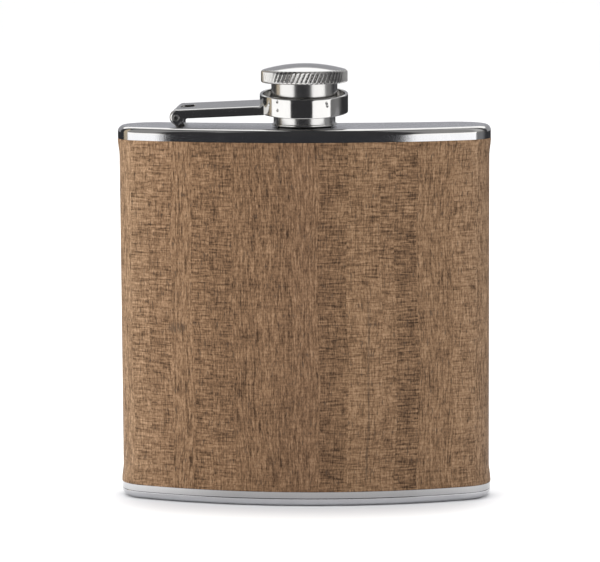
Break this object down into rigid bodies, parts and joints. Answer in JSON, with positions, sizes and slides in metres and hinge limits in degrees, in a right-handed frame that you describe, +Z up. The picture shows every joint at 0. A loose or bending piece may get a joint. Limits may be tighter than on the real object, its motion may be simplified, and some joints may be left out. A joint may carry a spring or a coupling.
{
  "type": "hip flask",
  "caption": "Curved steel pocket flask wrapped in wood veneer, with a knurled screw cap held captive by a hinged arm.",
  "frame": {"origin": "middle of the flask's base, on the surface it stands on", "axes": "+Z up through the cap, -Y towards the bulging front face, +X towards the end away from the hinge"},
  "size_m": [0.0952, 0.028, 0.1114],
  "materials": {
    "polished_steel": "polished stainless steel",
    "brushed_steel": "stainless steel, brushed along the flask's width",
    "wood": "walnut veneer, fine open grain along the flask's height, matt oil",
    "adhesive": "dried contact adhesive film",
    "silicone": "translucent white silicone"
  },
  "bodies": {
    "flask": {"body_shell": "polished_steel", "top_plate": "brushed_steel", "bottom_plate": "polished_steel", "neck": "polished_steel", "neck_weld": "polished_steel", "wood_veneer": "wood", "veneer_adhesive": "adhesive", "hinge_bracket": "polished_steel", "bracket_weld": "polished_steel"},
    "arm": {"hinge_arm": "polished_steel", "cap_collar": "polished_steel", "collar_washer": "polished_steel", "hinge_pin": "polished_steel"},
    "seal": {"cap_seal": "silicone"},
    "cap": {"cap_head": "polished_steel", "cap_sleeve": "polished_steel"}
  },
  "joints": [
    {"name": "arm_hinge", "type": "hinge", "parent": "flask", "child": "arm", "pos_m": [-0.0313, 0.00116, 0.09841], "axis": [-0.0983, -0.9952, 0], "range_deg": [0, 120]},
    {"name": "cap_lift", "type": "slide", "parent": "arm", "child": "seal", "axis": [0, 0, 1], "range_m": [0, 0.0036]},
    {"name": "cap_turn", "type": "hinge", "parent": "seal", "child": "cap", "pos_m": [0.00046, -0.00193, 0.104], "axis": [0, 0, 1], "range_deg": [0, 900]}
  ],
  "couplings": [
    {"joint": "cap_lift", "follows": "cap_turn", "m_per_rad": 0.00022282}
  ]
}
